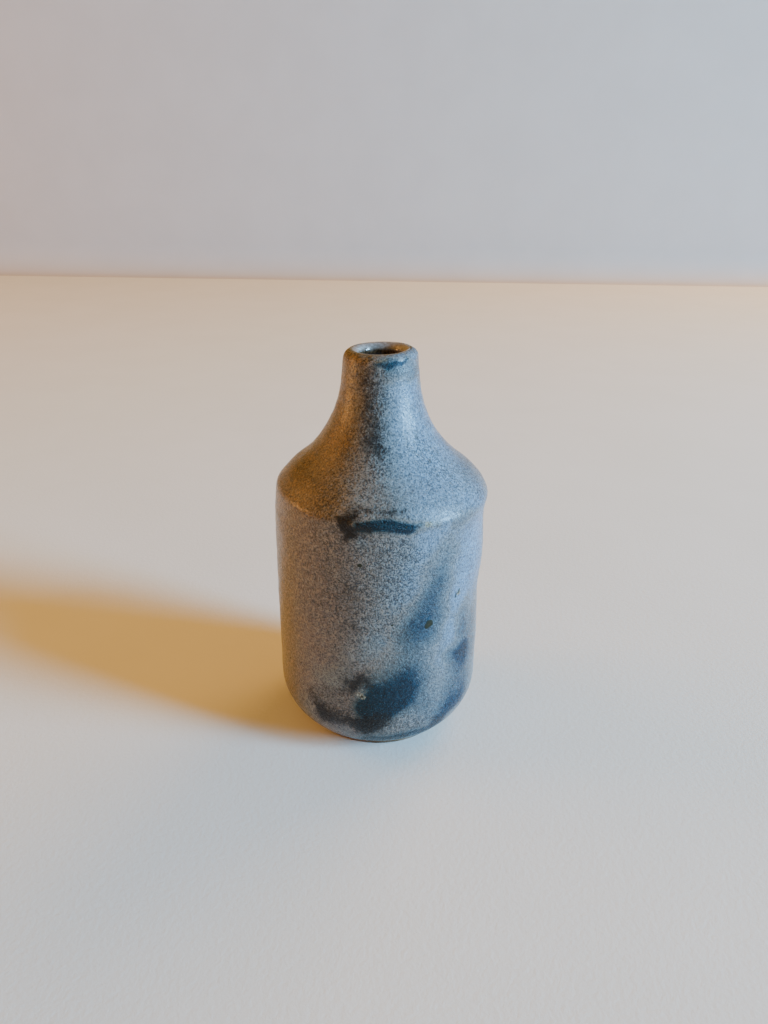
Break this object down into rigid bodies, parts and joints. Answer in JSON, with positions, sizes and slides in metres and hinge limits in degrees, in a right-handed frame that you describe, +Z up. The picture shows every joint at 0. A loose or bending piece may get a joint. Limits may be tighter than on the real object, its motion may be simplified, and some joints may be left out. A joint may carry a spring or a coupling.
{
  "type": "bud vase",
  "caption": "Small straight-sided stoneware bottle with a domed shoulder, a narrow neck for a few stems, a satin outer glaze, a gloss liner and a bare foot ring.",
  "frame": {"origin": "centre of the foot, on the surface that the vase stands on", "axes": "+Z up the axis of the vase, through the mouth; -Y is the front, which faces the viewer; +X is to the viewer's right"},
  "size_m": [0.0552, 0.0552, 0.104],
  "materials": {
    "clay": "matte",
    "slip": "matte",
    "outer_glaze": "satin",
    "liner_glaze": "gloss",
    "iron": "satin"
  },
  "bodies": {
    "root": {"lower_body": "clay", "shoulder_and_neck": "clay", "seam_slip": "slip", "outer_glaze": "outer_glaze", "liner_glaze": "liner_glaze", "iron_specks": "iron"}
  },
  "joints": []
}
